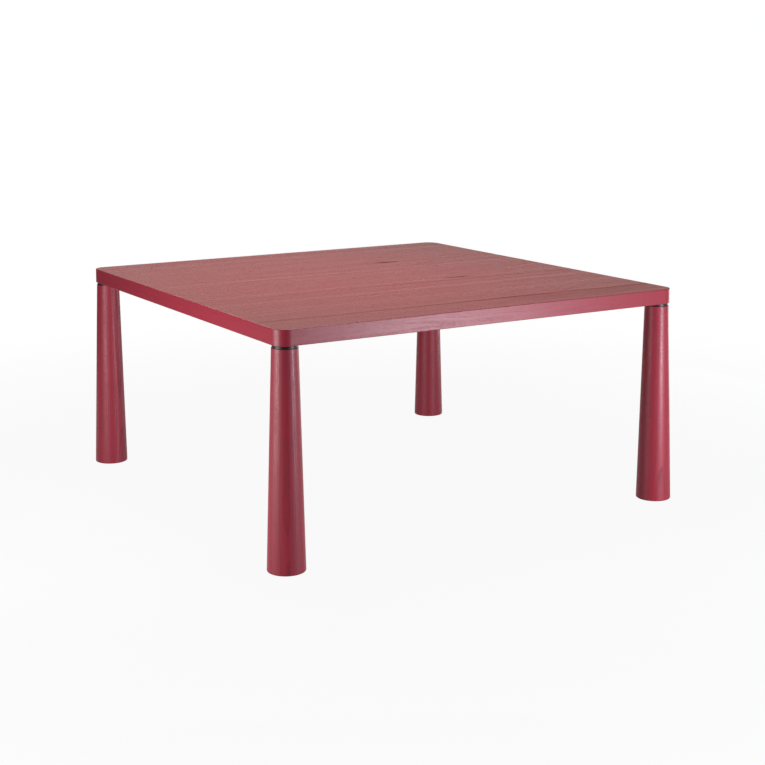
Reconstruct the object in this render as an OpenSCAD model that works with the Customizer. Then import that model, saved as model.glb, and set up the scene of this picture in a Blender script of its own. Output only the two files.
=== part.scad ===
// Square dining table with a veneered top and four turned legs.
// The frame stands on the floor under the table's centre, +Z up.
// +X runs along the front edge, which is also the direction of the grain.
// Front is -Y, left is -X. All sizes are in millimetres.

/* [Table] */
// Height of the top face above the floor
table_h = 725; // [700:1:760]
// Side of the square top
top_side = 1500; // [1200:10:1600]
// Thickness of the top, both veneers included
top_t = 50; // [44:1:60]
// Radius of the vertical corners, whose centres are the leg axes
corner_r = 43; // [41:0.5:50]
// Radius of the arrises round the two faces of the top
arris_r = 2; // [1:0.25:3]

/* [Veneers] */
// Thickness of the face and backing veneers
veneer_t = 0.6; // [0.4:0.1:0.9]
// Number of veneer leaves laid side by side on each face
leaf_count = 10; // [6:1:14]

/* [Lippings and corner blocks] */
// Width of the straight solid lippings
lip_w = 30; // [25:1:38]
// Side of the solid corner blocks
block_w = 100; // [98:1:120]
// Width of the loose tongue between a lipping and the core
tongue_w = 24; // [16:1:30]
// Thickness of the loose tongue
tongue_t = 6; // [4:1:8]
// Distance from a lipping's end to the end of its tongue
tongue_stop = 20; // [10:1:40]
// Diameter of the dowels between a corner block and the core
dowel_d = 10; // [8:1:12]
// Length of the dowels
dowel_l = 58; // [40:1:60]
// Distance between the two dowels of one glued face
dowel_pitch = 36; // [30:1:40]

/* [Legs] */
// Diameter of a leg just under its neck disc
leg_top_d = 80.5; // [76:0.5:84]
// Diameter of a leg at its foot
leg_foot_d = 116.5; // [90:0.5:130]
// Rounding of the leg's upper edge
leg_top_round = 1; // [0.5:0.25:3]
// Rounding of the leg's foot edge
leg_foot_round = 3; // [1:0.25:5]
// Diameter of the neck disc between leg and top
neck_d = 77; // [60:0.5:80]
// Height of the neck disc
neck_h = 9; // [5:0.5:14]
// Edge chamfer of the neck disc
neck_chamfer = 0.5; // [0.3:0.1:1]

/* [Leg fixing] */
// Diameter of the leg stud
stud_d = 12; // [10:1:12]
// Length of the leg stud
stud_l = 90; // [80:1:94]
// Length of stud that enters the top
stud_up = 38; // [30:1:40]
// Length of a threaded bush, flange included
bush_l = 40; // [30:1:41]
// Outside diameter of a threaded bush
bush_d = 20; // [18:1:22]
// Diameter of the bush flange
bush_flange_d = 26; // [24:1:30]
// Thickness of the bush flange
bush_flange_t = 2; // [1.5:0.5:3]

/* [Glides] */
// Diameter of a floor glide
glide_d = 80; // [50:1:84]
// Thickness of a floor glide
glide_t = 5; // [4.5:0.5:8]
// Height of the foot above the floor, which the glide makes
glide_out = 1; // [1:0.5:3]
// Shank diameter of the glide screw
screw_d = 4; // [3.5:0.5:5]
// Length of the glide screw
screw_l = 35; // [25:1:40]

/* [Hidden] */

// colours, as the table shows them
stain_face = [0.65, 0.43, 0.42];
stain_edge = [0.66, 0.25, 0.30];
stain_leg = [0.60, 0.20, 0.25];
black_steel = [0.07, 0.07, 0.08];
zinc_steel = [0.72, 0.72, 0.70];
chipboard = [0.76, 0.64, 0.46];
beech = [0.82, 0.66, 0.48];
nylon = [0.10, 0.10, 0.10];

// faceting of every round surface, and steps on a small rounded edge
$fn = 96;
round_steps = 6;

// clearances
leaf_gap = 0.05;
glue_gap = 0.1;
thread_gap = 0.05;
disc_gap = 0.3;
glide_gap = 0.3;
dowel_end_gap = 1;
bush_end_gap = 1;
stud_end_gap = 4;
screw_gap = 0.1;
screw_end_gap = 2;

// heights of the stack
half = top_side / 2;
under_z = table_h - top_t;
leg_z1 = under_z - neck_h;
leg_z0 = glide_out;
stud_z0 = under_z + stud_up - stud_l;

// layout of the top
axis_at = half - corner_r;
block_at = half - block_w;
core_half = half - lip_w;
mid_z = under_z + top_t / 2;
leaf_w = top_side / leaf_count;
// dowels of neighbouring faces pass above and below each other and clear the tongue
dowel_rise = (dowel_d + tongue_t) / 2 + 2;
// depth below the face at which the arris has its middle point
arris_mid = (veneer_t + arris_r) / 2;

// small edges of the hardware
end_chamfer = 1;
bush_chamfer = 0.5;
glide_round = 1;
head_d = 2 * screw_d;
head_h = 0.55 * screw_d;
head_sink = 0.6;
slot_w = 0.25 * screw_d;
slot_l = 1.2 * screw_d;
slot_h = 0.3 * screw_d;

// how far the arris has cut in from the edge at a depth below the face
function arris_in(d) =
    d >= arris_r ? 0 : arris_r - sqrt(arris_r * arris_r - (arris_r - d) * (arris_r - d));

// points of a small rounded edge, centre c, from angle a0 to a1
function arc_points(c, r, a0, a1) = [
    for (i = [0:round_steps])
        let (a = a0 + (a1 - a0) * i / round_steps)
            [c[0] + r * cos(a), c[1] + r * sin(a)]
];

// outer edge of the solid wood, as [cut in, height], from bottom to top
function edge_points() = [
    for (d = [veneer_t, arris_mid, arris_r]) [arris_in(d), d],
    for (d = [arris_r, arris_mid, veneer_t]) [arris_in(d), top_t - d]
];

// section of the edge, w wide, outer face at x = 0
module edge_section(w) {
    polygon(concat(edge_points(), [[w, top_t - veneer_t], [w, veneer_t]]));
}

// prism of the edge section along +X, outer face at y = 0
module edge_bar(w, l) {
    rotate([90, 0, 90])
        linear_extrude(l)
            edge_section(w);
}

// moves a shape drawn at the front left corner to one of the four corners
module at_corner(sx, sy) {
    mirror([sx > 0 ? 1 : 0, 0, 0])
        mirror([0, sy > 0 ? 1 : 0, 0])
            translate([-half, -half, 0])
                children();
}

// moves a shape drawn on the origin onto a leg axis
module at_leg(sx, sy) {
    translate([sx * axis_at, sy * axis_at, 0])
        children();
}

// cylinder with a chamfer at both ends
module chamfered_rod(d, l, c) {
    rotate_extrude()
        polygon([
            [0, 0], [d / 2 - c, 0], [d / 2, c],
            [d / 2, l - c], [d / 2 - c, l], [0, l]
        ]);
}

// one veneer sheet, wide face down, with the arris cut round its edge
module veneer_sheet() {
    wide = arris_in(veneer_t);
    run = 2 * axis_at;
    section = [
        [-half + wide, 0], [half - wide, 0],
        [half - arris_r, veneer_t], [-half + arris_r, veneer_t]
    ];
    translate([-axis_at, 0, 0])
        rotate([90, 0, 90])
            linear_extrude(run)
                polygon(section);
    translate([0, axis_at, 0])
        rotate([90, 0, 0])
            linear_extrude(run)
                polygon(section);
    for (sx = [-1, 1])
        for (sy = [-1, 1])
            at_leg(sx, sy)
                cylinder(h = veneer_t, r1 = corner_r - wide, r2 = corner_r - arris_r);
}

// the strip of the sheet that is leaf number i, counted from the front
module veneer_leaf(i) {
    intersection() {
        veneer_sheet();
        translate([-half, -half + i * leaf_w + leaf_gap / 2, -1])
            cube([top_side, leaf_w - leaf_gap, veneer_t + 2]);
    }
}

// loose tongue of one lipping, drawn for the front edge
module tongue(gap) {
    l = 2 * (block_at - tongue_stop + gap);
    w = tongue_w + 2 * gap;
    t = tongue_t + 2 * gap;
    translate([-l / 2, -core_half - w / 2, mid_z - t / 2])
        cube([l, w, t]);
}

// tongues or their grooves for all four edges
module all_tongues(gap) {
    for (a = [0:90:270])
        rotate([0, 0, a])
            tongue(gap);
}

// the four dowels of one corner block, or their holes
module corner_dowels(sx, sy, gap, end_gap) {
    l = dowel_l + 2 * end_gap;
    at = (lip_w + block_w) / 2;
    at_corner(sx, sy)
        for (side = [-1, 1])
            for (swap = [0, 1])
                translate([
                    swap ? at + side * dowel_pitch / 2 : block_w - l / 2,
                    swap ? block_w - l / 2 : at + side * dowel_pitch / 2,
                    mid_z + (swap ? -dowel_rise : dowel_rise)
                ])
                    rotate(swap ? [-90, 0, 0] : [0, 90, 0])
                        chamfered_rod(dowel_d + 2 * gap, l, end_gap > 0 ? 0.01 : end_chamfer);
}

// seat for a bush, mouth at z = 0, going up
module bush_seat() {
    cylinder(h = bush_l + bush_end_gap, d = bush_d + 2 * glue_gap);
    translate([0, 0, -1])
        cylinder(h = bush_flange_t + 1, d = bush_flange_d + 2 * glue_gap);
}

// threaded bush with its flange at z = 0, going up
module bush() {
    difference() {
        union() {
            cylinder(h = bush_flange_t, d = bush_flange_d);
            chamfered_rod(bush_d, bush_l, bush_chamfer);
        }
        translate([0, 0, -1])
            cylinder(h = bush_l + 2, d = stud_d + 2 * thread_gap);
    }
}

// straight lipping drawn for the front edge
module straight_lipping() {
    difference() {
        translate([-block_at, -half, under_z])
            edge_bar(lip_w, 2 * block_at);
        tongue(glue_gap);
    }
}

// corner block with its dowel holes and its bush seat
module corner_block(sx, sy) {
    rim = [for (p = edge_points()) [corner_r - p[0], p[1]]];
    difference() {
        at_corner(sx, sy)
            translate([0, 0, under_z]) {
                intersection() {
                    translate([corner_r, corner_r, 0])
                        rotate_extrude()
                            polygon(concat(rim, [[0, top_t - veneer_t], [0, veneer_t]]));
                    cube([corner_r, corner_r, top_t]);
                }
                translate([corner_r, 0, 0])
                    edge_bar(block_w, block_w - corner_r);
                translate([0, block_w, 0])
                    rotate([0, 0, -90])
                        edge_bar(corner_r, block_w - corner_r);
            }
        corner_dowels(sx, sy, glue_gap, dowel_end_gap);
        at_leg(sx, sy)
            translate([0, 0, under_z])
                bush_seat();
    }
}

// steel disc that stands between a leg and the top
module neck_disc(sx, sy) {
    at_leg(sx, sy)
        translate([0, 0, leg_z1])
            difference() {
                chamfered_rod(neck_d, neck_h, neck_chamfer);
                translate([0, 0, -1])
                    cylinder(h = neck_h + 2, d = stud_d + 2 * disc_gap);
            }
}

// turned leg, a cone that widens to the foot
module leg(sx, sy) {
    foot_r = leg_foot_d / 2;
    slope = (leg_foot_d - leg_top_d) / 2 / (leg_z1 - leg_z0);
    lean = sqrt(1 + slope * slope);
    side_a = atan(slope);
    foot_c = [foot_r - leg_foot_round * (slope + lean), leg_z0 + leg_foot_round];
    top_c = [
        foot_r - slope * (leg_z1 - leg_top_round - leg_z0) - leg_top_round * lean,
        leg_z1 - leg_top_round
    ];
    at_leg(sx, sy)
        difference() {
            rotate_extrude()
                polygon(concat(
                    [[0, leg_z0]],
                    arc_points(foot_c, leg_foot_round, -90, side_a),
                    arc_points(top_c, leg_top_round, side_a, 90),
                    [[0, leg_z1]]
                ));
            translate([0, 0, leg_z1])
                mirror([0, 0, 1])
                    bush_seat();
            translate([0, 0, stud_z0 - stud_end_gap])
                cylinder(h = leg_z1 - stud_z0, d = stud_d + 2 * disc_gap);
            translate([0, 0, -1])
                cylinder(h = glide_t + 1 + screw_gap, d = glide_d + 2 * glide_gap);
            cylinder(h = head_sink + screw_l + screw_end_gap, d = screw_d + 2 * screw_gap);
        }
}

// floor glide with a countersunk hole
module glide(sx, sy) {
    at_leg(sx, sy)
        difference() {
            rotate_extrude()
                polygon(concat(
                    [[0, 0]],
                    arc_points([glide_d / 2 - glide_round, glide_round], glide_round, -90, 0),
                    [[glide_d / 2, glide_t], [0, glide_t]]
                ));
            translate([0, 0, -1])
                cylinder(h = glide_t + 2, d = screw_d + 2 * screw_gap);
            translate([0, 0, -1])
                cylinder(h = head_sink + 1, d = head_d + 2 * screw_gap);
            translate([0, 0, head_sink])
                cylinder(
                    h = head_h,
                    d1 = head_d + 2 * screw_gap,
                    d2 = screw_d + 2 * screw_gap
                );
        }
}

// countersunk screw that holds a glide, with a cross slot in its head
module glide_screw(sx, sy) {
    at_leg(sx, sy)
        translate([0, 0, head_sink])
            difference() {
                rotate_extrude()
                    polygon([
                        [0, 0], [head_d / 2, 0], [screw_d / 2, head_h],
                        [screw_d / 2, screw_l - screw_d], [0, screw_l]
                    ]);
                for (a = [0, 90])
                    rotate([0, 0, a])
                        translate([-slot_l / 2, -slot_w / 2, -1])
                            cube([slot_l, slot_w, slot_h + 1]);
            }
}

// core of the top, with its corners cut out for the blocks
module core_board() {
    color(chipboard)
        difference() {
            translate([-core_half, -core_half, under_z + veneer_t])
                cube([2 * core_half, 2 * core_half, top_t - 2 * veneer_t]);
            for (sx = [-1, 1])
                for (sy = [-1, 1])
                    at_corner(sx, sy)
                        translate([0, 0, under_z])
                            cube([block_w, block_w, top_t]);
            all_tongues(glue_gap);
            for (sx = [-1, 1])
                for (sy = [-1, 1])
                    corner_dowels(sx, sy, glue_gap, dowel_end_gap);
        }
}

// leaves of the face, their joints running along X
module face_veneer() {
    color(stain_face)
        translate([0, 0, table_h - veneer_t])
            for (i = [0:leaf_count - 1])
                veneer_leaf(i);
}

// leaves of the underside, pierced where the bushes come through
module backing_veneer() {
    color(stain_edge)
        difference() {
            translate([0, 0, under_z + veneer_t])
                mirror([0, 0, 1])
                    for (i = [0:leaf_count - 1])
                        veneer_leaf(i);
            for (sx = [-1, 1])
                for (sy = [-1, 1])
                    at_leg(sx, sy)
                        translate([0, 0, under_z])
                            bush_seat();
        }
}

module lipping_front() {
    color(stain_edge) straight_lipping();
}

module lipping_back() {
    color(stain_edge) rotate([0, 0, 180]) straight_lipping();
}

module lipping_left() {
    color(stain_edge) rotate([0, 0, -90]) straight_lipping();
}

module lipping_right() {
    color(stain_edge) rotate([0, 0, 90]) straight_lipping();
}

module corner_block_front_left() {
    color(stain_edge) corner_block(-1, -1);
}

module corner_block_front_right() {
    color(stain_edge) corner_block(1, -1);
}

module corner_block_back_left() {
    color(stain_edge) corner_block(-1, 1);
}

module corner_block_back_right() {
    color(stain_edge) corner_block(1, 1);
}

module lipping_tongues() {
    color(beech) all_tongues(0);
}

module block_dowels() {
    color(beech)
        for (sx = [-1, 1])
            for (sy = [-1, 1])
                corner_dowels(sx, sy, 0, 0);
}

module top_bushes() {
    color(zinc_steel)
        for (sx = [-1, 1])
            for (sy = [-1, 1])
                at_leg(sx, sy)
                    translate([0, 0, under_z])
                        bush();
}

module neck_disc_front_left() {
    color(black_steel) neck_disc(-1, -1);
}

module neck_disc_front_right() {
    color(black_steel) neck_disc(1, -1);
}

module neck_disc_back_left() {
    color(black_steel) neck_disc(-1, 1);
}

module neck_disc_back_right() {
    color(black_steel) neck_disc(1, 1);
}

module leg_studs() {
    color(zinc_steel)
        for (sx = [-1, 1])
            for (sy = [-1, 1])
                at_leg(sx, sy)
                    translate([0, 0, stud_z0])
                        chamfered_rod(stud_d, stud_l, end_chamfer);
}

module leg_bushes() {
    color(zinc_steel)
        for (sx = [-1, 1])
            for (sy = [-1, 1])
                at_leg(sx, sy)
                    translate([0, 0, leg_z1])
                        mirror([0, 0, 1])
                            bush();
}

module leg_front_left() {
    color(stain_leg) leg(-1, -1);
}

module leg_front_right() {
    color(stain_leg) leg(1, -1);
}

module leg_back_left() {
    color(stain_leg) leg(-1, 1);
}

module leg_back_right() {
    color(stain_leg) leg(1, 1);
}

module glide_front_left() {
    color(nylon) glide(-1, -1);
}

module glide_front_right() {
    color(nylon) glide(1, -1);
}

module glide_back_left() {
    color(nylon) glide(-1, 1);
}

module glide_back_right() {
    color(nylon) glide(1, 1);
}

module glide_screws() {
    color(zinc_steel)
        for (sx = [-1, 1])
            for (sy = [-1, 1])
                glide_screw(sx, sy);
}

core_board();
face_veneer();
backing_veneer();
lipping_front();
lipping_back();
lipping_left();
lipping_right();
corner_block_front_left();
corner_block_front_right();
corner_block_back_left();
corner_block_back_right();
lipping_tongues();
block_dowels();
top_bushes();
neck_disc_front_left();
neck_disc_front_right();
neck_disc_back_left();
neck_disc_back_right();
leg_studs();
leg_bushes();
leg_front_left();
leg_front_right();
leg_back_left();
leg_back_right();
glide_front_left();
glide_front_right();
glide_back_left();
glide_back_right();
glide_screws();
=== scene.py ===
"""Square dining table in red stained ash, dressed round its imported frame.

Lengths are in metres. The table stands on the floor with its origin under the
centre of the top, +X along the front edge and the grain, +Z up.
"""

import math

import bpy
import numpy as np
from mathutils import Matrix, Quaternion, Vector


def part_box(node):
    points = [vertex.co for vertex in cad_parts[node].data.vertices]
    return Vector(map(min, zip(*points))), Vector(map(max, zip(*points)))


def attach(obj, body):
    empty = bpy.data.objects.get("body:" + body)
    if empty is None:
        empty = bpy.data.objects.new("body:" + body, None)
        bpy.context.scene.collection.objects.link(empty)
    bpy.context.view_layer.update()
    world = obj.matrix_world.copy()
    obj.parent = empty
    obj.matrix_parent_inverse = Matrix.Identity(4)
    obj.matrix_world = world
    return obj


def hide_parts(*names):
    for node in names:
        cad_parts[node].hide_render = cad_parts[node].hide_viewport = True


bl_info = {
    "name": "Square Dining Table",
    "version": (1, 0, 0),
    "blender": (4, 5, 0),
    "location": "3D View > Sidebar > Table",
    "description": "Builds the veneered top, turned legs and fittings of a square dining table",
    "category": "Object",
}

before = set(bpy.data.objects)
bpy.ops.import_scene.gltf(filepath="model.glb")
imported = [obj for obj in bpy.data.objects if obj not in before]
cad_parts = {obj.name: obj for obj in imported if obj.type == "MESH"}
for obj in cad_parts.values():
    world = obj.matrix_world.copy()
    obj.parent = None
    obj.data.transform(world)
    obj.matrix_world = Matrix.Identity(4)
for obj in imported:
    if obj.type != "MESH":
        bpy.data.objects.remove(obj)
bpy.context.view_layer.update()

MM = 0.001
CORNERS = {
    "front_left": (-1, -1),
    "front_right": (1, -1),
    "back_left": (-1, 1),
    "back_right": (1, 1),
}
# low and high corners of the CAD nodes from which the new pieces take their sizes
FACE_LOW, FACE_HIGH = (np.array(corner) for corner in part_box("face_veneer"))
BACK_LOW = np.array(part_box("backing_veneer")[0])
LEG_LOW, LEG_HIGH = (np.array(corner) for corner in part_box("leg_front_left"))
DISC_LOW, DISC_HIGH = (np.array(corner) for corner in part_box("neck_disc_front_left"))
GLIDE_LOW, GLIDE_HIGH = (np.array(corner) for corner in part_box("glide_front_left"))
BLOCK_LOW, BLOCK_HIGH = (np.array(corner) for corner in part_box("corner_block_front_left"))
LIP_HIGH = np.array(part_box("lipping_front")[1])
# half the side of the square top
HALF = -BLOCK_LOW[0]

# radii of the fixings, and their clearance where they are fitted and where they pass freely
STUD, BUSH, FLANGE, SCREW, SCREW_HEAD = 6 * MM, 10 * MM, 13 * MM, 2 * MM, 4 * MM
FITTED, FREE = 0.1 * MM, 0.3 * MM
# depths below a leg's head of the flange's seat, the bush's seat and the stud's hole
FLANGE_DEPTH, BUSH_DEPTH, STUD_DEPTH = 2 * MM, 41 * MM, 47 * MM
# end of the glide screw's hole over the floor, both ends of its sink over the glide's underside
SCREW_TOP, SINK_LOW, SINK_HIGH = 37.6 * MM, 0.6 * MM, 2.8 * MM


def linear(hex_colour):
    """Turns an sRGB hex colour into the linear values that shaders use."""
    channels = [int(hex_colour[i:i + 2], 16) / 255 for i in (1, 3, 5)]
    return [c / 12.92 if c <= 0.04045 else ((c + 0.055) / 1.055) ** 2.4 for c in channels]


# ---------------------------------------------------------------- settings


class TopSizes(bpy.types.PropertyGroup):
    """Sizes of the top"""
    corner_radius: bpy.props.FloatProperty(
        name="Corner radius", description="Radius of the vertical corners",
        default=43 * MM, unit="LENGTH")
    arris_radius: bpy.props.FloatProperty(
        name="Arris radius", description="Rounding between a face and the edges",
        default=2 * MM, unit="LENGTH")
    leaf_count: bpy.props.IntProperty(
        name="Veneer leaves", description="Leaves laid side by side on each face",
        default=10, min=1)
    leaf_gap: bpy.props.FloatProperty(
        name="Leaf joint", description="Width of the joint between two leaves",
        default=0.05 * MM, unit="LENGTH")


class LegSizes(bpy.types.PropertyGroup):
    """Sizes of the legs"""
    neck_diameter: bpy.props.FloatProperty(
        name="Neck diameter", description="Diameter of a leg under its neck disc",
        default=80.5 * MM, unit="LENGTH")
    foot_diameter: bpy.props.FloatProperty(
        name="Foot diameter", description="Diameter of a leg at its foot",
        default=116.5 * MM, unit="LENGTH")
    neck_round: bpy.props.FloatProperty(
        name="Neck rounding", description="Rounding of the upper edge",
        default=1 * MM, unit="LENGTH")
    foot_round: bpy.props.FloatProperty(
        name="Foot rounding", description="Rounding of the foot edge",
        default=3 * MM, unit="LENGTH")


class TableFinish(bpy.types.PropertyGroup):
    """Colours of the stain and width of the wood's rings"""
    stain_light: bpy.props.FloatVectorProperty(
        name="Stain on smooth wood", description="Colour of the wood between its pores",
        default=linear("#8b2233"), size=3, subtype="COLOR")
    stain_dark: bpy.props.FloatVectorProperty(
        name="Stain in pores", description="Colour where the stain gathers in open pores",
        default=linear("#5d141f"), size=3, subtype="COLOR")
    ring_width: bpy.props.FloatProperty(
        name="Ring width", description="One year's growth of the ash",
        default=2.6 * MM, unit="LENGTH")


# ------------------------------------------------------------------ shapes


# distance from a rounding at which a flat stretch gets its supporting points
SUPPORT = 0.6 * MM
# an edge is shaded sharp where its faces turn by more than this, in degrees
SHARP_TURN = 32
# points along each side of a veneer leaf, less one
LEAF_STEPS = 25


def arc(centre, radius, start, end, steps=8):
    """Points of an arc: centre plus radius times (cos, sin) of evenly spaced angles."""
    a = np.radians(np.linspace(start, end, steps + 1))
    return np.stack([centre[0] + radius * np.cos(a), centre[1] + radius * np.sin(a)], axis=1)


def with_supports(points, closed=False):
    """Adds a point near both ends of each long stretch, so that shading stays flat there.

    Each stretch from p to q longer than four gaps gets p + gap*u and q - gap*u,
    u being the unit vector from p to q and the gap SUPPORT.
    """
    following = np.roll(points, -1, axis=0)
    if not closed:
        following[-1] = points[-1]
    step = following - points
    length = np.linalg.norm(step, axis=1)
    long = length > 4 * SUPPORT
    # the last point of an open row has no stretch, and so no direction
    unit = step / np.maximum(length, 1e-12)[:, None]
    rows = np.stack([points, points + SUPPORT * unit, following - SUPPORT * unit], axis=1)
    keep = np.stack([np.ones_like(long), long, long], axis=1)
    return rows[keep]


def arris(radius, veneer, part, steps=6):
    """The rounding between face and edge as rows of (inset, depth below the face).

    At angle t from the face's normal these are r(1 - sin t) and r(1 - cos t). The
    veneer has the part from t = 0 to its glue line, the solid wood the rest.
    """
    glue_line = math.acos(1 - veneer / radius)
    span = (0, glue_line) if part == "veneer" else (glue_line, math.pi / 2)
    t = np.linspace(*span, steps + 1)
    return np.stack([radius * (1 - np.sin(t)), radius * (1 - np.cos(t))], axis=1)


def shell(grid, closed_rows=False, outward=1):
    """Turns a grid of points into one closed shell: its points and its arrays of faces.

    Rows run along the shape, columns round it. Quads join each row to the next and
    each column to the one after it, the last to the first. With closed_rows the last
    row also joins the first. Otherwise a flat face ends the shell at both rows.
    """
    rows, columns = grid.shape[:2]
    index = np.arange(rows * columns).reshape(rows, columns)
    upper = np.roll(index, -1, axis=0)
    if not closed_rows:
        index, upper = index[:-1], upper[:-1]
    quads = np.stack(
        [index, np.roll(index, -1, axis=1), np.roll(upper, -1, axis=1), upper], axis=-1)
    faces = [quads.reshape(-1, 4)]
    if not closed_rows:
        rim = np.arange(columns)
        faces += [rim[None, ::-1], (rows - 1) * columns + rim[None]]
    if outward < 0:
        faces = [part[:, ::-1] for part in faces]
    return grid.reshape(-1, 3), faces


def piece_mesh(name, shells):
    """Puts shells into one mesh, each moved on by the number of points before it."""
    starts = np.cumsum([0] + [len(points) for points, _ in shells])
    faces = []
    for start, (_, parts) in zip(starts, shells):
        for part in parts:
            faces += (part + start).tolist()
    mesh = bpy.data.meshes.new(name)
    mesh.from_pydata(np.concatenate([points for points, _ in shells]).tolist(), [], faces)
    return mesh


def finish_piece(mesh, material, node, log_at=None):
    """log_at turns points into places in the log, kept as an attribute of that name.
    """
    mesh.shade_smooth()
    mesh.set_sharp_from_angle(angle=math.radians(SHARP_TURN))
    if log_at is not None:
        points = np.empty(len(mesh.vertices) * 3)
        mesh.vertices.foreach_get("co", points)
        places = mesh.attributes.new("log_at", "FLOAT_VECTOR", "POINT")
        places.data.foreach_set(
            "vector", log_at(points.reshape(-1, 3)).astype(np.float32).ravel())
    mesh.materials.append(material)
    mesh.validate()
    piece = bpy.data.objects.new(mesh.name, mesh)
    bpy.context.scene.collection.objects.link(piece)
    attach(piece, "root")
    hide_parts(node)


def revolve(profile, centre, closed_rows, turns=160):
    """Surface of revolution: each profile point (r, z) goes round to
    (cx + r cos a, cy + r sin a, z), a evenly spaced over one turn."""
    a = np.linspace(0, 2 * np.pi, turns, endpoint=False)
    r, z = profile[:, 0, None], profile[:, 1, None]
    grid = np.stack([centre[0] + r * np.cos(a), centre[1] + r * np.sin(a),
                     np.broadcast_to(z, (len(profile), turns))], axis=-1)
    return shell(grid, closed_rows)


def edge_levels(low, high, radius, veneer):
    """Outer edge of the solid wood from bottom to top, as rows of (inset, height)."""
    bend = arris(radius, veneer, "solid")
    under = bend + (0, low)
    over = bend[::-1] * (1, -1) + (0, high)
    return with_supports(np.concatenate([under, over]))


def leaf_levels(face, radius, veneer, side):
    """Rim of a veneer leaf from its glued side to its face, as rows of (inset, height)."""
    rim = arris(radius, veneer, "veneer")[::-1] * (1, -side) + (0, face)
    return np.concatenate([rim, [[radius + SUPPORT, face]]])


def half_width(y, inset, half, radius):
    """Half the width of the rounded square at y, its outline moved in by inset."""
    past = np.maximum(np.abs(y) - (half - radius), 0)
    reach = np.maximum((radius - inset) ** 2 - past ** 2, 0)
    return half - radius + np.sqrt(reach)


def leaf_shell(levels, low_y, high_y, half, radius, side):
    """One leaf: the rounded square between two joints, lofted through the rim's levels.

    Each level is the loop of points (w, y) going back and (-w, y) coming forward,
    w being the half width of the outline at y. Round a corner y moves by the bend's
    radius times 1 - cos t, t evenly spaced over a quarter turn.
    """
    ease = 1 - np.cos(np.linspace(0, 1, LEAF_STEPS) * np.pi / 2)
    loops = []
    for inset, height in levels:
        start = max(low_y, -half + inset)
        end = min(high_y, half - inset)
        bend = radius - inset
        if low_y <= -half:
            y = np.concatenate([start + bend * ease, [end]])
        elif high_y >= half:
            y = np.concatenate([[start], end - bend * ease[::-1]])
        else:
            y = start + (end - start) * np.linspace(0, 1, LEAF_STEPS + 1)
        w = half_width(y, inset, half, radius)
        right = np.stack([w, y], axis=1)
        loop = np.concatenate([right, right[::-1] * (-1, 1)])
        loops.append(np.column_stack([loop, np.full(len(loop), height)]))
    return shell(np.array(loops), outward=side)


# --------------------------------------------------------------- materials


def add(tree, kind, inputs=None, **settings):
    """Adds a node, sets its properties, then fills its sockets.

    A value goes onto its socket, a socket is linked, and a node stands for its first output.
    Sockets that share a name go by number: a Mix node blends 6 into 7 by its factor 0 and
    gives the colour as output 2.
    """
    node = tree.nodes.new(kind)
    for key, value in settings.items():
        setattr(node, key, value)
    for key, value in (inputs or {}).items():
        if isinstance(value, bpy.types.Node):
            value = value.outputs[0]
        if isinstance(value, bpy.types.NodeSocket):
            tree.links.new(value, node.inputs[key])
        else:
            node.inputs[key].default_value = value
    return node


def new_material(name):
    """A material with an empty node tree."""
    material = bpy.data.materials.new(name)
    material.use_nodes = True
    material.node_tree.nodes.clear()
    return material, material.node_tree


# a noise lies round this value
NOISE_MEAN = 0.5
# how much the crowding of the pores counts beside the streaks
CROWDING = 0.8
# tones, from the dark stain at 0 to the light one at 1: of wood without early wood or pores,
# what a pore takes from it, and the one at which the lacquer has the roughness given
PLAIN_TONE, PORE_TONE, LACQUER_TONE = 0.78, -0.35, 0.72


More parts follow.
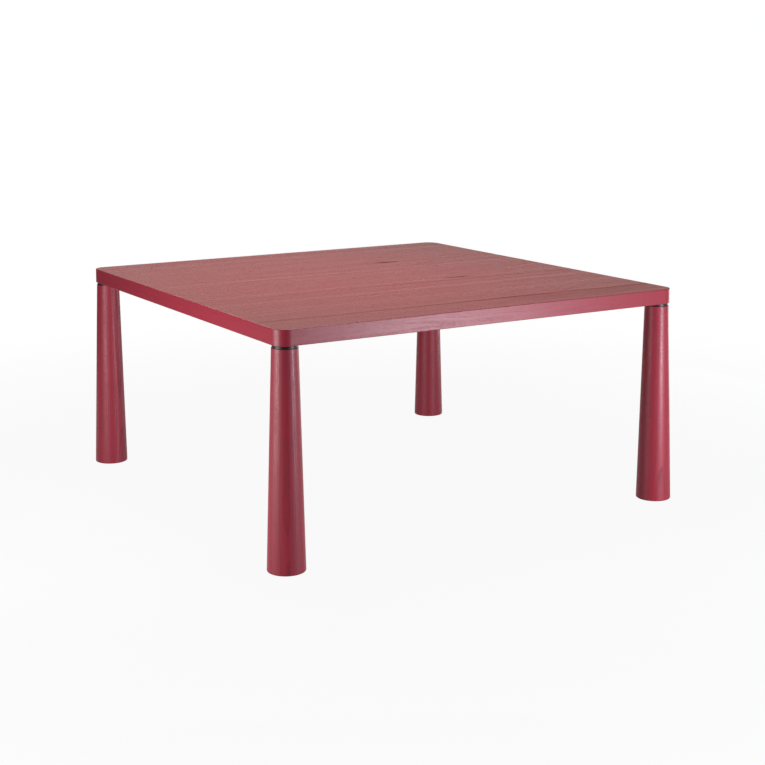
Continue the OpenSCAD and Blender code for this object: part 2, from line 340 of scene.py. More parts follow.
def stained_ash(name, finish, rings, streaks, roughness, dimpling, dulling, specular, marks=None):
    """Ash, planed or turned, under crimson stain and a semi-matt lacquer.

    The stain gathers in the open pores of each ring's early wood, so the eye sees dark
    dashes and soft streaks along the grain in an even red, under a pinkish sheen that is
    duller where the wood is darker. rings is how far the early wood darkens, streaks how
    far the streaks do, dimpling how far the roughness swings with the dimples, dulling how
    much of it a darker tone adds, and marks a function that gives one more change of tone.
    """
    material, tree = new_material(name)
    # along the grain, across it, and outwards from the pith, in metres
    place = add(tree, "ShaderNodeAttribute", attribute_name="log_at").outputs["Vector"]

    # slow bends of the grain by up to 8 mm: one in about 600 mm along it, one in 110 mm across
    slow = add(tree, "ShaderNodeMapping", {"Vector": place, "Scale": (1.6, 9.0, 9.0)})
    bend = add(tree, "ShaderNodeTexNoise", {"Vector": slow, "Scale": 1.0, "Detail": 2.0})

    # growth rings: the distance from the pith, counted in ring widths
    section = add(tree, "ShaderNodeVectorMath", {0: place, 1: (0, 1, 1)}, operation="MULTIPLY")
    radius = add(tree, "ShaderNodeVectorMath", {0: section}, operation="LENGTH").outputs["Value"]
    bent = add(tree, "ShaderNodeMath", {0: bend, 1: 16 * MM, 2: radius},
               operation="MULTIPLY_ADD")
    count = add(tree, "ShaderNodeMath", {0: bent, 1: finish.ring_width}, operation="DIVIDE")
    season = add(tree, "ShaderNodeMath", {0: count}, operation="FRACT")
    # early wood fades out over the first half of a ring
    early = add(tree, "ShaderNodeMapRange",
                {"Value": season, "From Min": 0.05, "From Max": 0.55,
                 "To Min": 1.0, "To Max": 0.0}, interpolation_type="SMOOTHSTEP")

    # pores are 0.3 mm wide and up to 15 mm long, drawn 0.7 mm wide so that they show
    dash_at = add(tree, "ShaderNodeMapping", {"Vector": place, "Scale": (70, 1400, 1400)})
    dash = add(tree, "ShaderNodeTexNoise", {"Vector": dash_at, "Scale": 1.0, "Detail": 1.0})
    dashes = add(tree, "ShaderNodeMapRange", {"Value": dash, "From Min": 0.52, "From Max": 0.66},
                 interpolation_type="SMOOTHSTEP")
    pores = add(tree, "ShaderNodeMath", {0: dashes, 1: early}, operation="MULTIPLY")

    # streaks 3 to 40 mm wide, where the wood took more or less stain
    long = add(tree, "ShaderNodeMapping", {"Vector": place, "Scale": (1.0, 24, 24)})
    streak = add(tree, "ShaderNodeTexNoise",
                 {"Vector": long, "Scale": 1.0, "Detail": 4.0, "Roughness": 0.72})
    # pores crowd together in places about 80 mm long and 12 mm wide
    crowd_at = add(tree, "ShaderNodeMapping", {"Vector": place, "Scale": (12, 85, 85)})
    crowd = add(tree, "ShaderNodeTexNoise",
                {"Vector": crowd_at, "Scale": 1.0, "Detail": 3.0, "Roughness": 0.7})
    both = add(tree, "ShaderNodeMath", {0: crowd, 1: CROWDING, 2: streak},
               operation="MULTIPLY_ADD")

    # streaks and crowding swing the tone about that of plain wood, rings and pores lower it
    level = PLAIN_TONE - NOISE_MEAN * (1 + CROWDING) * streaks
    tone = add(tree, "ShaderNodeMath", {0: both, 1: streaks, 2: level},
               operation="MULTIPLY_ADD")
    tone = add(tree, "ShaderNodeMath", {0: early, 1: -rings, 2: tone},
               operation="MULTIPLY_ADD")
    tone = add(tree, "ShaderNodeMath", {0: pores, 1: PORE_TONE, 2: tone},
               operation="MULTIPLY_ADD")
    if marks:
        tone = add(tree, "ShaderNodeMath", {0: tone, 1: marks(tree)}, operation="ADD")
    # a tone below 0 is nearly black, as in a fleck of bark
    colour = add(tree, "ShaderNodeMix",
                 {0: tone, 6: (*finish.stain_dark, 1), 7: (*finish.stain_light, 1)},
                 data_type="RGBA", clamp_factor=False, clamp_result=True)

    # the lacquer sinks into dark, open wood, which is left duller, and dries in dimples
    # about 6 mm apart
    dimples = add(tree, "ShaderNodeTexNoise", {"Vector": place, "Scale": 170.0, "Detail": 1.0})
    level = roughness - NOISE_MEAN * dimpling + LACQUER_TONE * dulling
    shine = add(tree, "ShaderNodeMath", {0: dimples, 1: dimpling, 2: level},
                operation="MULTIPLY_ADD")
    shine = add(tree, "ShaderNodeMath", {0: tone, 1: -dulling, 2: shine},
                operation="MULTIPLY_ADD", use_clamp=True)

    # pores and early wood are grooves about 0.03 mm deep under the lacquer
    groove = add(tree, "ShaderNodeMath", {0: early, 1: 0.3, 2: pores}, operation="MULTIPLY_ADD")
    relief = add(tree, "ShaderNodeBump",
                 {"Height": groove, "Strength": 0.5, "Distance": 0.03 * MM}, invert=True)

    shader = add(tree, "ShaderNodeBsdfPrincipled", {
        "Base Color": colour.outputs[2], "Roughness": shine, "Normal": relief,
        "IOR": 1.5, "Specular IOR Level": specular})
    add(tree, "ShaderNodeOutputMaterial", {"Surface": shader})
    return material


# lines along the grain of the face, most of them where leaves meet: place across the
# table, half width, change of tone
FACE_LINES = [
    (-0.485, 5 * MM, 0.15), (-0.445, 5 * MM, 0.20), (-0.340, 6 * MM, -0.12),
    (-0.294, 6 * MM, 0.36), (-0.250, 5 * MM, -0.15), (-0.196, 8 * MM, -0.28),
    (-0.150, 6 * MM, 0.25), (0.010, 4 * MM, -0.15), (0.155, 6 * MM, 0.32),
    (0.200, 6 * MM, -0.15), (0.300, 5 * MM, -0.18), (0.610, 7 * MM, 0.25),
    (0.675, 6 * MM, -0.20),
]
# one more such line, long and dark, that sways by up to half of SWAY about its place
DARK_GRAIN = (-0.610, 14 * MM, -0.45)
SWAY = 50 * MM
# dark flecks and darker zones of the face, the last a wide painted shade along its front right:
# middle, half length, half width, change of tone
FACE_FLECKS_AND_SHADE = [
    (0.255, 0.308, 65 * MM, 12 * MM, -1.5), (0.275, -0.149, 75 * MM, 11 * MM, -1.4),
    (0.200, 0.325, 80 * MM, 6 * MM, -0.5), (0.215, -0.141, 60 * MM, 5 * MM, -0.4),
    (0.110, -0.441, 45 * MM, 6 * MM, -0.4), (-0.320, 0.010, 60 * MM, 6 * MM, -0.4),
    (-0.060, 0.008, 50 * MM, 5 * MM, -0.35), (0.200, -0.612, 200 * MM, 14 * MM, -0.45),
    # painted shade: darkens the front right of the face, where the top lies darker under the
    # light
    (0.450, -0.670, 500 * MM, 80 * MM, -0.15),
]


def face_marks(tree):
    """Lines, flecks and one long wavy dark grain of the face, and a painted shade along its
    front right, from Object coordinates.

    A line has its full strength within a seventh of its half width and fades to its
    rim. A fleck has it within a fifth of its ellipse.
    """
    at = add(tree, "ShaderNodeTexCoord").outputs["Object"]
    # the dark grain sways in bends about 400 mm long
    slow = add(tree, "ShaderNodeMapping", {"Vector": at, "Scale": (2.5, 0, 0)})
    sway = add(tree, "ShaderNodeTexNoise", {"Vector": slow, "Scale": 1.0, "Detail": 2.0})
    shift = add(tree, "ShaderNodeCombineXYZ", {1: sway})
    wavy = add(tree, "ShaderNodeVectorMath", {0: shift, 1: (0, SWAY, 0), 2: at},
               operation="MULTIPLY_ADD")
    line, half, strength = DARK_GRAIN
    lines = [(at, *straight) for straight in FACE_LINES]
    lines.append((wavy, line + NOISE_MEAN * SWAY, half, strength))
    total = 0.0
    for place, line, half, strength in lines:
        across = add(tree, "ShaderNodeSeparateXYZ", {0: place}).outputs[1]
        away = add(tree, "ShaderNodeMath", {0: across, 1: line}, operation="SUBTRACT")
        away = add(tree, "ShaderNodeMath", {0: away}, operation="ABSOLUTE")
        fade = add(tree, "ShaderNodeMapRange",
                   {"Value": away, "From Min": half / 7, "From Max": half,
                    "To Min": strength, "To Max": 0.0}, interpolation_type="SMOOTHSTEP")
        total = add(tree, "ShaderNodeMath", {0: fade, 1: total}, operation="ADD")
    for x, y, length, width, strength in FACE_FLECKS_AND_SHADE:
        moved = add(tree, "ShaderNodeMapping",
                    {"Vector": at, "Location": (-x / length, -y / width, 0),
                     "Scale": (1 / length, 1 / width, 0)})
        far = add(tree, "ShaderNodeVectorMath", {0: moved}, operation="LENGTH").outputs["Value"]
        fade = add(tree, "ShaderNodeMapRange",
                   {"Value": far, "From Min": 0.2, "From Max": 1.0,
                    "To Min": strength, "To Max": 0.0}, interpolation_type="SMOOTHSTEP")
        total = add(tree, "ShaderNodeMath", {0: fade, 1: total}, operation="ADD")
    return total


def powder_coat():
    """Black powder coat baked on turned steel: a satin skin with a fine orange peel."""
    material, tree = new_material("black powder coat on steel")
    at = add(tree, "ShaderNodeTexCoord").outputs["Object"]
    # the peel's bumps are about 1 mm apart
    peel = add(tree, "ShaderNodeTexNoise", {"Vector": at, "Scale": 900.0, "Detail": 2.0})
    colour = add(tree, "ShaderNodeMix",
                 {0: peel, 6: (*linear("#0c0c0d"), 1), 7: (*linear("#151517"), 1)},
                 data_type="RGBA")
    shine = add(tree, "ShaderNodeMapRange", {
        "Value": peel, "From Min": 0.3, "From Max": 0.7, "To Min": 0.36, "To Max": 0.44})
    relief = add(tree, "ShaderNodeBump",
                 {"Height": peel, "Strength": 0.3, "Distance": 0.02 * MM})
    shader = add(tree, "ShaderNodeBsdfPrincipled", {
        "Base Color": colour.outputs[2], "Roughness": shine, "Normal": relief,
        "IOR": 1.5, "Specular IOR Level": 0.22})
    add(tree, "ShaderNodeOutputMaterial", {"Surface": shader})
    return material


def moulded_nylon():
    """Black nylon, injection moulded: matt, with the fine grain of its mould."""
    material, tree = new_material("black moulded nylon")
    at = add(tree, "ShaderNodeTexCoord").outputs["Object"]
    # mould grain about 0.7 mm apart
    grain = add(tree, "ShaderNodeTexNoise", {"Vector": at, "Scale": 1500.0, "Detail": 2.0})
    colour = add(tree, "ShaderNodeMix",
                 {0: grain, 6: (*linear("#1a1a1a"), 1), 7: (*linear("#262626"), 1)},
                 data_type="RGBA")
    shine = add(tree, "ShaderNodeMapRange", {
        "Value": grain, "From Min": 0.3, "From Max": 0.7, "To Min": 0.55, "To Max": 0.7})
    relief = add(tree, "ShaderNodeBump",
                 {"Height": grain, "Strength": 0.4, "Distance": 0.03 * MM})
    shader = add(tree, "ShaderNodeBsdfPrincipled", {
        "Base Color": colour.outputs[2], "Roughness": shine, "Normal": relief, "IOR": 1.53})
    add(tree, "ShaderNodeOutputMaterial", {"Surface": shader})
    return material


def raw_chipboard():
    """Pressed chipboard, sawn: pale flakes of many tones, 2 to 6 mm long, with no shine."""
    material, tree = new_material("raw chipboard")
    at = add(tree, "ShaderNodeTexCoord").outputs["Object"]
    # flakes are about 4 mm across and 1.4 mm thick
    squashed = add(tree, "ShaderNodeMapping", {"Vector": at, "Scale": (250, 250, 700)})
    flakes = add(tree, "ShaderNodeTexVoronoi", {"Vector": squashed, "Scale": 1.0})
    tones = add(tree, "ShaderNodeSeparateColor", {0: flakes.outputs["Color"]})
    colour = add(tree, "ShaderNodeMix",
                 {0: tones, 6: (*linear("#a88454"), 1), 7: (*linear("#d9bd8c"), 1)},
                 data_type="RGBA")
    shine = add(tree, "ShaderNodeMapRange", {
        "Value": tones.outputs[1], "From Min": 0.0, "From Max": 1.0,
        "To Min": 0.8, "To Max": 0.95})
    relief = add(tree, "ShaderNodeBump", {
        "Height": flakes.outputs["Distance"], "Strength": 0.4, "Distance": 0.1 * MM})
    shader = add(tree, "ShaderNodeBsdfPrincipled", {
        "Base Color": colour.outputs[2], "Roughness": shine, "Normal": relief, "IOR": 1.5})
    add(tree, "ShaderNodeOutputMaterial", {"Surface": shader})
    return material


def planed_beech():
    """Beech, planed or turned and left raw: warm pale wood with short dark flecks."""
    material, tree = new_material("planed beech")
    at = add(tree, "ShaderNodeTexCoord").outputs["Object"]
    # grain about 8 mm long and 1 mm high, flecks a third of that
    long = add(tree, "ShaderNodeMapping", {"Vector": at, "Scale": (120, 120, 900)})
    grain = add(tree, "ShaderNodeTexNoise", {"Vector": long, "Scale": 1.0, "Detail": 3.0})
    fine = add(tree, "ShaderNodeMapping", {"Vector": at, "Scale": (300, 300, 2500)})
    fleck = add(tree, "ShaderNodeTexNoise", {"Vector": fine, "Scale": 1.0, "Detail": 1.0})
    dark = add(tree, "ShaderNodeMapRange", {
        "Value": fleck, "From Min": 0.6, "From Max": 0.7, "To Min": 0.0, "To Max": -0.4})
    tone = add(tree, "ShaderNodeMath", {0: grain, 1: dark}, operation="ADD", use_clamp=True)
    colour = add(tree, "ShaderNodeMix",
                 {0: tone, 6: (*linear("#a97f57"), 1), 7: (*linear("#dab78c"), 1)},
                 data_type="RGBA")
    shine = add(tree, "ShaderNodeMapRange", {
        "Value": grain, "From Min": 0.3, "From Max": 0.7, "To Min": 0.5, "To Max": 0.65})
    shader = add(tree, "ShaderNodeBsdfPrincipled", {
        "Base Color": colour.outputs[2], "Roughness": shine, "IOR": 1.5})
    add(tree, "ShaderNodeOutputMaterial", {"Surface": shader})
    return material


def bright_zinc():
    """Bright zinc plate on turned steel: a cool metal with faint turning lines round it."""
    material, tree = new_material("bright zinc on steel")
    at = add(tree, "ShaderNodeTexCoord").outputs["Object"]
    # turning lines are about 0.25 mm apart along the axis
    turned = add(tree, "ShaderNodeMapping", {"Vector": at, "Scale": (200, 200, 4000)})
    lines = add(tree, "ShaderNodeTexNoise", {"Vector": turned, "Scale": 1.0, "Detail": 2.0})
    colour = add(tree, "ShaderNodeMix",
                 {0: lines, 6: (*linear("#b6b7b4"), 1), 7: (*linear("#d4d5d2"), 1)},
                 data_type="RGBA")
    shine = add(tree, "ShaderNodeMapRange", {
        "Value": lines, "From Min": 0.3, "From Max": 0.7, "To Min": 0.25, "To Max": 0.4})
    relief = add(tree, "ShaderNodeBump",
                 {"Height": lines, "Strength": 0.3, "Distance": 0.01 * MM})
    shader = add(tree, "ShaderNodeBsdfPrincipled", {
        "Base Color": colour.outputs[2], "Roughness": shine, "Normal": relief, "Metallic": 1.0})
    add(tree, "ShaderNodeOutputMaterial", {"Surface": shader})
    return material


# --------------------------------------------------------------- operators


class TABLE_OT_leaves(bpy.types.Operator):
    """Build the veneer leaves of the face and of the underside"""
    bl_idname = "table.leaves"
    bl_label = "Veneer leaves"

    def execute(self, context):
        top, finish = context.scene.table_top, context.scene.table_finish
        width = 2 * HALF / top.leaf_count
        veneer = FACE_HIGH[2] - FACE_LOW[2]
        # the flitch: places of the first leaf across and in depth, how far each leaf slips
        # along, how many slices lie between two leaves, and the rise of its rings per metre
        first_across, first_depth, slip, slices, rise = 60 * MM, 30 * MM, 13 * MM, 8, 9 * MM

        def in_log(points):
            """Slip-matched leaves: each is a later slice of one flitch, so its place across
            starts again at its joint and its depth grows by a few slices."""
            leaf = np.clip(np.floor((points[:, 1] + HALF) / width), 0, top.leaf_count - 1)
            across = points[:, 1] + HALF - leaf * width + first_across
            depth = first_depth + slices * veneer * leaf + rise * points[:, 0]
            return np.stack([points[:, 0] + slip * leaf, across, depth], axis=1)

        for name, node, side, height, rings, roughness, marks in (
                ("face_leaves", "face_veneer", 1, FACE_HIGH[2], 0.09, 0.31, face_marks),
                ("backing_leaves", "backing_veneer", -1, BACK_LOW[2], 0.14, 0.42, None)):
            material = stained_ash(
                f"red stained ash veneer, {name}", finish, rings=rings, streaks=0.42,
                roughness=roughness, dimpling=0.32, dulling=0.33, specular=0.4, marks=marks)
            levels = leaf_levels(height, top.arris_radius, veneer, side)
            shells = []
            for leaf in range(top.leaf_count):
                low, high = -HALF + leaf * width, -HALF + (leaf + 1) * width
                if leaf > 0:
                    low += top.leaf_gap / 2
                if leaf < top.leaf_count - 1:
                    high -= top.leaf_gap / 2
                shells.append(leaf_shell(levels, low, high, HALF, top.corner_radius, side))
            finish_piece(piece_mesh(name, shells), material, node, in_log)
        return {"FINISHED"}


class TABLE_OT_edges(bpy.types.Operator):
    """Build the straight lippings and the corner blocks"""
    bl_idname = "table.edges"
    bl_label = "Lippings and corner blocks"

    def execute(self, context):
        top, finish = context.scene.table_top, context.scene.table_finish
        levels = edge_levels(BACK_LOW[2], FACE_HIGH[2], top.arris_radius,
                             FACE_HIGH[2] - FACE_LOW[2])
        material = stained_ash(
            "red stained ash, edges of the top", finish, rings=0.04, streaks=0.03,
            roughness=0.43, dimpling=0.12, dulling=0.40, specular=0.28)
        self.lippings(levels, material)
        self.blocks(levels, material, top.corner_radius)
        return {"FINISHED"}

    def lippings(self, levels, material):
        """Each lipping is the front one, turned by quarters about the table's centre."""
        run, inner = LIP_HIGH[0], LIP_HIGH[1]
        quarter_turn = np.array([[0, 1, 0], [-1, 0, 0], [0, 0, 1]])
        # the boards in the log: height that lies level with the pith, tilt per metre, distance
        # from one to the next along, depth of the first, and from one to the next in depth
        level, tilt, apart, depth, deeper = 0.69, 7 * MM, 3.1, 55 * MM, 11 * MM
        for quarter, edge in enumerate(("front", "right", "back", "left")):
            loops = np.array([
                [[-run, -HALF + d, z], [run, -HALF + d, z], [run, inner, z], [-run, inner, z]]
                for d, z in levels])
            loops = loops @ np.linalg.matrix_power(quarter_turn, quarter)

            def in_log(points, quarter=quarter):
                """A flat sawn board: along its edge, then its height, then its depth."""
                along = points[:, quarter % 2]
                inwards = HALF - np.abs(points[:, 1 - quarter % 2])
                across = points[:, 2] - level + tilt * along
                return np.stack(
                    [along + apart * quarter, across, depth + deeper * quarter + inwards], axis=1)

            mesh = piece_mesh(f"edge_lipping_{edge}", [shell(loops)])
            finish_piece(mesh, material, f"lipping_{edge}", in_log)

    def blocks(self, levels, material, radius):
        """Each block is the front left one, mirrored into its corner. Its outline is the
        arc of the round corner and the three square ones, moved in by each level's inset."""
        side = BLOCK_HIGH[0] - BLOCK_LOW[0]
        # the blocks in the log: height that lies level with the pith, distance from one to the
        # next along, depth at their inner side, and from one to the next in depth
        level, apart, inner, depth, deeper = 0.70, 1.7, 0.65, 50 * MM, 9 * MM
        for number, (corner, (sx, sy)) in enumerate(CORNERS.items()):
            loops = []
            for d, z in levels:
                bend = arc((radius, radius), radius - d, 180, 270, steps=32)
                outline = np.concatenate([bend, [[side, d], [side, side], [d, side]]])
                outline = with_supports(outline, closed=True)
                loops.append(np.column_stack([outline, np.full(len(outline), z)]))
            loops = (np.array(loops) - (HALF, HALF, 0)) * (-sx, -sy, 1)

            def in_log(points, number=number):
                """The grain of a block runs along X, its rings rising towards the edge."""
                outwards = depth + deeper * number + np.abs(points[:, 1]) - inner
                return np.stack(
                    [points[:, 0] + apart * number, points[:, 2] - level, outwards], axis=1)

            mesh = piece_mesh(f"corner_solid_{corner}", [shell(loops, outward=sx * sy)])
            finish_piece(mesh, material, f"corner_block_{corner}", in_log)


class TABLE_OT_legs(bpy.types.Operator):
    """Build the four turned legs"""
    bl_idname = "table.legs"
    bl_label = "Turned legs"

    def execute(self, context):
        sizes, top = context.scene.table_legs, context.scene.table_top
        material = stained_ash(
            "red stained ash, turned legs", context.scene.table_finish, rings=0.26,
            streaks=0.65, roughness=0.46, dimpling=0.32, dulling=0.35, specular=0.31)
        neck, foot = sizes.neck_diameter / 2, sizes.foot_diameter / 2
        low, high = LEG_LOW[2], LEG_HIGH[2]
        # the side leans by slope, so each rounding touches it at that tilt
        slope = (foot - neck) / (high - low)
        lean, tilt = math.hypot(1, slope), math.degrees(math.atan(slope))
        foot_centre = (foot - sizes.foot_round * (slope + lean), low + sizes.foot_round)
        neck_z = high - sizes.neck_round
        neck_centre = (foot - slope * (neck_z - low) - sizes.neck_round * lean, neck_z)
        # recess of the glide and its screw's hole below, seats of bush and stud above
        recess, recess_z = (GLIDE_HIGH[0] - GLIDE_LOW[0]) / 2 + FREE, GLIDE_HIGH[2] + FITTED
        screw_hole, stud_hole = SCREW + FITTED, STUD + FREE
        flange_seat, flange_z = FLANGE + FITTED, high - FLANGE_DEPTH
        bush_seat, bush_z = BUSH + FITTED, high - BUSH_DEPTH
        profile = with_supports(np.concatenate([
            [[screw_hole, SCREW_TOP], [screw_hole, recess_z], [recess, recess_z], [recess, low]],
            arc(foot_centre, sizes.foot_round, -90, tilt),
            arc(neck_centre, sizes.neck_round, tilt, 90),
            [[flange_seat, high], [flange_seat, flange_z], [bush_seat, flange_z],
             [bush_seat, bush_z], [stud_hole, bush_z], [stud_hole, high - STUD_DEPTH]],
        ]))
        # the legs in the log: turn of each, distance from one to the next along, distance of
        # their axes from the pith at the floor, and how much further off they are per metre up
        turns, apart, pith, rise = (205, 190, 160, 330), 2.3, 75 * MM, 22 * MM
        for number, ((corner, signs), angle) in enumerate(zip(CORNERS.items(), turns)):
            centre = np.array(signs) * (HALF - top.corner_radius)

            def in_log(points, number=number, angle=angle, centre=centre):
                """The leg stands in its log beside the pith, turned by its own angle, and leans
                a little, so that the rings run out as arches."""
                turn = math.radians(angle)
                dx, dy = points[:, 0] - centre[0], points[:, 1] - centre[1]
                across = dx * math.cos(turn) - dy * math.sin(turn)
                depth = dx * math.sin(turn) + dy * math.cos(turn) + pith + rise * points[:, 2]
                return np.stack([points[:, 2] + apart * number, across, depth], axis=1)

            mesh = piece_mesh(f"turned_leg_{corner}",
                              [revolve(profile, centre, closed_rows=False)])
            finish_piece(mesh, material, f"leg_{corner}", in_log)
        return {"FINISHED"}


class TABLE_OT_discs(bpy.types.Operator):
    """Build the black neck discs between the legs and the top"""
    bl_idname = "table.discs"
    bl_label = "Neck discs"

    def execute(self, context):
        radius = (DISC_HIGH[0] - DISC_LOW[0]) / 2
        low, high = DISC_LOW[2], DISC_HIGH[2]
        bore, edge = STUD + FREE, 0.5 * MM
        profile = with_supports(np.concatenate([
            [[bore, low]],
            arc((radius - edge, low + edge), edge, -90, 0, steps=6),
            arc((radius - edge, high - edge), edge, 0, 90, steps=6),
            [[bore, high]],
        ]), closed=True)
        material = powder_coat()
        for corner, signs in CORNERS.items():
            centre = np.array(signs) * (HALF - context.scene.table_top.corner_radius)
            mesh = piece_mesh(f"neck_ring_{corner}",
                              [revolve(profile, centre, closed_rows=True, turns=128)])
            finish_piece(mesh, material, f"neck_disc_{corner}")
        return {"FINISHED"}


class TABLE_OT_glides(bpy.types.Operator):
    """Build the floor glides under the feet"""
    bl_idname = "table.glides"
    bl_label = "Floor glides"

    def execute(self, context):
        radius = (GLIDE_HIGH[0] - GLIDE_LOW[0]) / 2
        low, high = GLIDE_LOW[2], GLIDE_HIGH[2]
        # the screw's hole widens to its head's sink in the underside
        hole, sink, edge = SCREW + FITTED, SCREW_HEAD + FITTED, 1 * MM
        profile = with_supports(np.concatenate([
            [[hole, low + SINK_HIGH], [sink, low + SINK_LOW], [sink, low]],
            arc((radius - edge, low + edge), edge, -90, 0),
            [[radius, high], [hole, high]],
        ]), closed=True)
        material = moulded_nylon()
        for corner, signs in CORNERS.items():
            centre = np.array(signs) * (HALF - context.scene.table_top.corner_radius)
            mesh = piece_mesh(f"floor_glide_{corner}",
                              [revolve(profile, centre, closed_rows=True, turns=96)])
            finish_piece(mesh, material, f"glide_{corner}")
        return {"FINISHED"}


class TABLE_OT_inner(bpy.types.Operator):
    """Finish the core, the tongues and dowels and the steel fittings inside"""
    bl_idname = "table.inner"
    bl_label = "Inner pieces"

    def execute(self, context):
        finishes = {
            ("core_board",): raw_chipboard(),
            ("lipping_tongues", "block_dowels"): planed_beech(),
            ("top_bushes", "leg_studs", "leg_bushes", "glide_screws"): bright_zinc(),
        }
        for nodes, material in finishes.items():
            for node in nodes:
                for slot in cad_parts[node].material_slots:
                    slot.material = material
        return {"FINISHED"}


# Soft boxes of the studio: name, place, point looked at, width, height, and the radiance
# of the lit face in red, green and blue, where 1 is the white of the background. They were
# fitted to the light on the table in the photograph, all but lamp_right, which lights the
# side that the photograph doesn't show.
LAMPS = [
    ("lamp_front", (1.05, -2.74, 0.38), (0, 0, 0.38), 0.50, 0.66, (51.5, 50.5, 55.0)),
    ("lamp_left", (-3.26, -0.79, 0.39), (0, 0, 0.39), 0.81, 0.56, (27.7, 28.0, 28.0)),
    ("lamp_left_strip", (-1.81, -0.38, 0.56), (0, 0, 0.56), 0.21, 1.09, (13.8, 13.9, 13.9)),
    ("lamp_back_high", (-0.56, 1.63, 2.15), (0, 0, 1.0), 0.48, 0.89, (7.2, 6.8, 5.4)),
    ("lamp_over", (-0.13, -0.07, 2.26), (-0.13, -0.06, 0), 1.44, 1.44, (5.6, 5.6, 5.1)),
    ("lamp_right", (2.4, 0.3, 0.36), (0.7, 0.1, 0.36), 1.4, 0.6, (4.0, 4.0, 4.0)),
]
# upright flags on the floor: x and y of one end, x and y of the other, and the height
FLAGS = [
    (-3.3, 0.5, -0.5, 3.3, 1.2),
    (-1.56, -1.40, -0.66, -1.87, 0.90),
]
# the floor is seen white from the outer distance on. Within the inner one this share of it
# is white and the rest lit, so that the table's shadow shows there.
SHADOW_INNER, SHADOW_OUTER, SHADOW_WHITE = 1.4, 3.5, 0.94
# heights over the horizon, as the sine of the angle, between which the white wall that is
# mirrored in the table gives way to the studio above it
WALL_LOW, WALL_HIGH = 0.10, 0.15


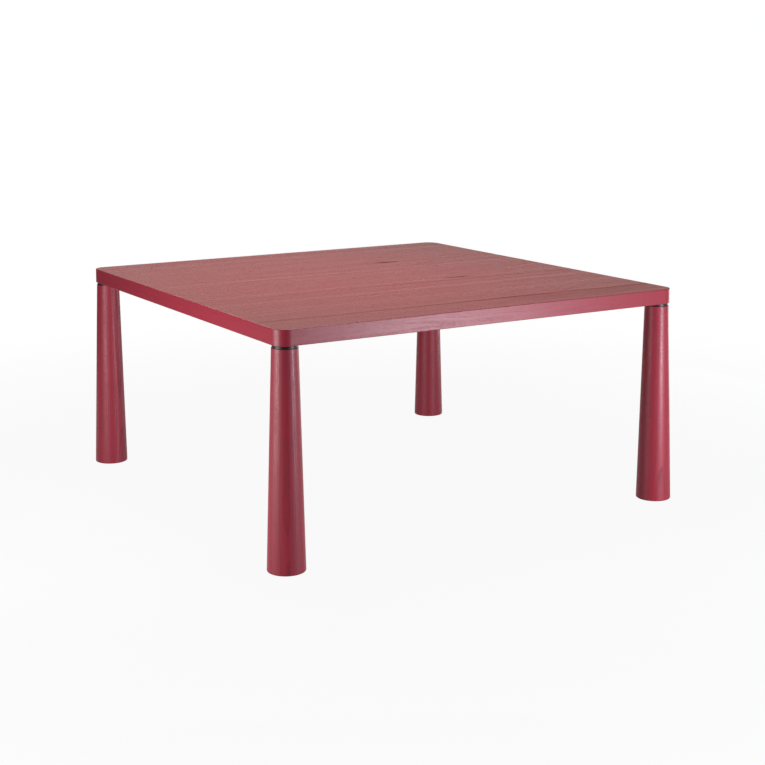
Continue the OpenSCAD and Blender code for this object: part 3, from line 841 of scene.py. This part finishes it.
class TABLE_OT_stage(bpy.types.Operator):
    """Lay the floor and set the lamps, the world and the camera"""
    bl_idname = "table.stage"
    bl_label = "Floor, light and camera"

    def execute(self, context):
        scene = context.scene
        scene.view_settings.view_transform = "Standard"
        self.floor(scene)
        self.world(scene)
        self.flags(scene)
        self.lamps(scene)
        self.camera(scene)
        return {"FINISHED"}

    def floor(self, scene):
        """A wide pale floor, seen white, that keeps a faint shadow of the table."""
        reach = 30.0
        mesh = bpy.data.meshes.new("stage_floor")
        mesh.from_pydata(
            [(-reach, -reach, 0), (reach, -reach, 0), (reach, reach, 0), (-reach, reach, 0)],
            [], [(0, 1, 2, 3)])
        material, tree = new_material("white studio floor")
        path = add(tree, "ShaderNodeLightPath")
        seen = add(tree, "ShaderNodeMath",
                   {0: path.outputs["Is Camera Ray"], 1: path.outputs["Is Glossy Ray"]},
                   operation="MAXIMUM")
        seen = add(tree, "ShaderNodeMath", {0: seen, 1: path.outputs["Is Transmission Ray"]},
                   operation="MAXIMUM")
        at = add(tree, "ShaderNodeTexCoord").outputs["Object"]
        away = add(tree, "ShaderNodeVectorMath", {0: at}, operation="LENGTH").outputs["Value"]
        plain = add(tree, "ShaderNodeMapRange",
                    {"Value": away, "From Min": SHADOW_INNER, "From Max": SHADOW_OUTER,
                     "To Min": SHADOW_WHITE, "To Max": 1.0}, interpolation_type="SMOOTHSTEP")
        share = add(tree, "ShaderNodeMath", {0: seen, 1: plain}, operation="MULTIPLY")
        matt = add(tree, "ShaderNodeBsdfDiffuse", {"Color": (0.25, 0.25, 0.25, 1)})
        glow = add(tree, "ShaderNodeEmission", {"Color": (1, 1, 1, 1), "Strength": 1.0})
        mix = add(tree, "ShaderNodeMixShader", {0: share, 1: matt, 2: glow})
        add(tree, "ShaderNodeOutputMaterial", {"Surface": mix})
        mesh.materials.append(material)
        floor = bpy.data.objects.new("stage_floor", mesh)
        scene.collection.objects.link(floor)

    def world(self, scene):
        """Seen, it is white. Mirrored, it is white near the horizon and a warm grey above, like
        a studio with a low white wall. It sheds no light of its own on the object."""
        world = bpy.data.worlds.new("studio")
        scene.world = world
        world.use_nodes = True
        tree = world.node_tree
        tree.nodes.clear()
        way = add(tree, "ShaderNodeTexCoord").outputs["Generated"]
        rise = add(tree, "ShaderNodeSeparateXYZ", {0: way}).outputs[2]
        above = add(tree, "ShaderNodeMapRange",
                    {"Value": rise, "From Min": WALL_LOW, "From Max": WALL_HIGH},
                    interpolation_type="SMOOTHSTEP")
        wall = add(tree, "ShaderNodeMix", {0: above, 6: (1, 1, 1, 1), 7: (0.30, 0.30, 0.23, 1)},
                   data_type="RGBA")
        path = add(tree, "ShaderNodeLightPath")
        colour = add(tree, "ShaderNodeMix",
                     {0: path.outputs["Is Camera Ray"], 6: wall.outputs[2], 7: (1, 1, 1, 1)},
                     data_type="RGBA")
        level = add(tree, "ShaderNodeMath",
                    {0: path.outputs["Is Glossy Ray"], 1: path.outputs["Is Transmission Ray"]},
                    operation="MAXIMUM")
        level = add(tree, "ShaderNodeMath", {0: level, 1: path.outputs["Is Camera Ray"]},
                    operation="MAXIMUM")
        light = add(tree, "ShaderNodeBackground", {"Color": colour.outputs[2], "Strength": level})
        add(tree, "ShaderNodeOutputWorld", {"Surface": light})

    def flags(self, scene):
        """Low grey flags, which the camera doesn't see: one behind the table on the left and
        one between it and the camera. They keep the white wall and floor out of the sheen
        of the left edge, the near corner and the legs."""
        points = [point for ax, ay, bx, by, high in FLAGS
                  for point in ((ax, ay, 0), (bx, by, 0), (bx, by, high), (ax, ay, high))]
        mesh = bpy.data.meshes.new("stage_flags")
        mesh.from_pydata(points, [], [(0, 1, 2, 3), (4, 5, 6, 7)])
        material, tree = new_material("grey felt")
        felt = add(tree, "ShaderNodeBsdfDiffuse", {"Color": (0.22, 0.22, 0.22, 1)})
        add(tree, "ShaderNodeOutputMaterial", {"Surface": felt})
        mesh.materials.append(material)
        flag = bpy.data.objects.new("stage_flags", mesh)
        flag.visible_camera = False
        scene.collection.objects.link(flag)

    def lamps(self, scene):
        """Area lamps. Watts are four times the lit area times its radiance."""
        for name, place, aim, width, height, radiance in LAMPS:
            data = bpy.data.lights.new(name, "AREA")
            data.shape = "RECTANGLE"
            data.size, data.size_y = width, height
            brightest = max(radiance)
            data.energy = 4 * width * height * brightest
            data.color = [channel / brightest for channel in radiance]
            lamp = bpy.data.objects.new(name, data)
            lamp.location = place
            back = np.array(place) - np.array(aim)
            # turned about X by its angle from straight down, then about Z to face the aim
            lamp.rotation_euler = (math.acos(back[2] / np.linalg.norm(back)), 0,
                                   math.atan2(back[1], back[0]) + math.pi / 2)
            lamp.visible_camera = False
            scene.collection.objects.link(lamp)

    def camera(self, scene):
        """The photograph's camera, solved from the table's edges in a frame of 765 by 765.

        Focal length and row are in pixels, angles in degrees. The lens's axis meets the
        picture at centre_row, above its middle, which is the lens shift.
        """
        pixels, sensor = 765, 36.0
        focal, centre_row = 1486.07, 218.0
        yaw, pitch, roll = 58.7835, 6.1371, 0.049
        data = bpy.data.cameras.new("camera")
        data.sensor_fit = "HORIZONTAL"
        data.sensor_width = sensor
        data.lens = focal * sensor / pixels
        data.shift_y = (centre_row - pixels / 2) / pixels
        data.clip_end = 200
        camera = bpy.data.objects.new("camera", data)
        camera.location = (-2.65838, -4.47274, 1.49626)
        camera.rotation_mode = "QUATERNION"
        camera.rotation_quaternion = (
            Quaternion((0, 0, 1), math.radians(yaw - 90))
            @ Quaternion((1, 0, 0), math.radians(90 - pitch))
            @ Quaternion((0, 0, 1), math.radians(-roll)))
        scene.collection.objects.link(camera)
        scene.camera = camera


class TABLE_PT_panel(bpy.types.Panel):
    """Sizes and finishes of the table, and the steps that build it"""
    bl_idname = "TABLE_PT_panel"
    bl_label = "Square dining table"
    bl_space_type = "VIEW_3D"
    bl_region_type = "UI"
    bl_category = "Table"

    def draw(self, context):
        for group in GROUPS:
            settings = getattr(context.scene, group)
            box = self.layout.box()
            for key in settings.bl_rna.properties.keys():
                if key not in ("rna_type", "name"):
                    box.prop(settings, key)
        for operator in OPERATORS:
            self.layout.operator(operator.bl_idname)


GROUPS = {"table_top": TopSizes, "table_legs": LegSizes, "table_finish": TableFinish}
OPERATORS = (TABLE_OT_stage, TABLE_OT_leaves, TABLE_OT_edges, TABLE_OT_legs,
             TABLE_OT_discs, TABLE_OT_glides, TABLE_OT_inner)


def register():
    for cls in (*GROUPS.values(), *OPERATORS, TABLE_PT_panel):
        bpy.utils.register_class(cls)
    for key, cls in GROUPS.items():
        setattr(bpy.types.Scene, key, bpy.props.PointerProperty(type=cls))


def unregister():
    for key in GROUPS:
        delattr(bpy.types.Scene, key)
    for cls in reversed((*GROUPS.values(), *OPERATORS, TABLE_PT_panel)):
        bpy.utils.unregister_class(cls)


def main():
    """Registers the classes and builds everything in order."""
    register()
    bpy.ops.table.stage()
    bpy.ops.table.leaves()
    bpy.ops.table.edges()
    bpy.ops.table.legs()
    bpy.ops.table.discs()
    bpy.ops.table.glides()
    bpy.ops.table.inner()


if __name__ == "__main__":
    main()
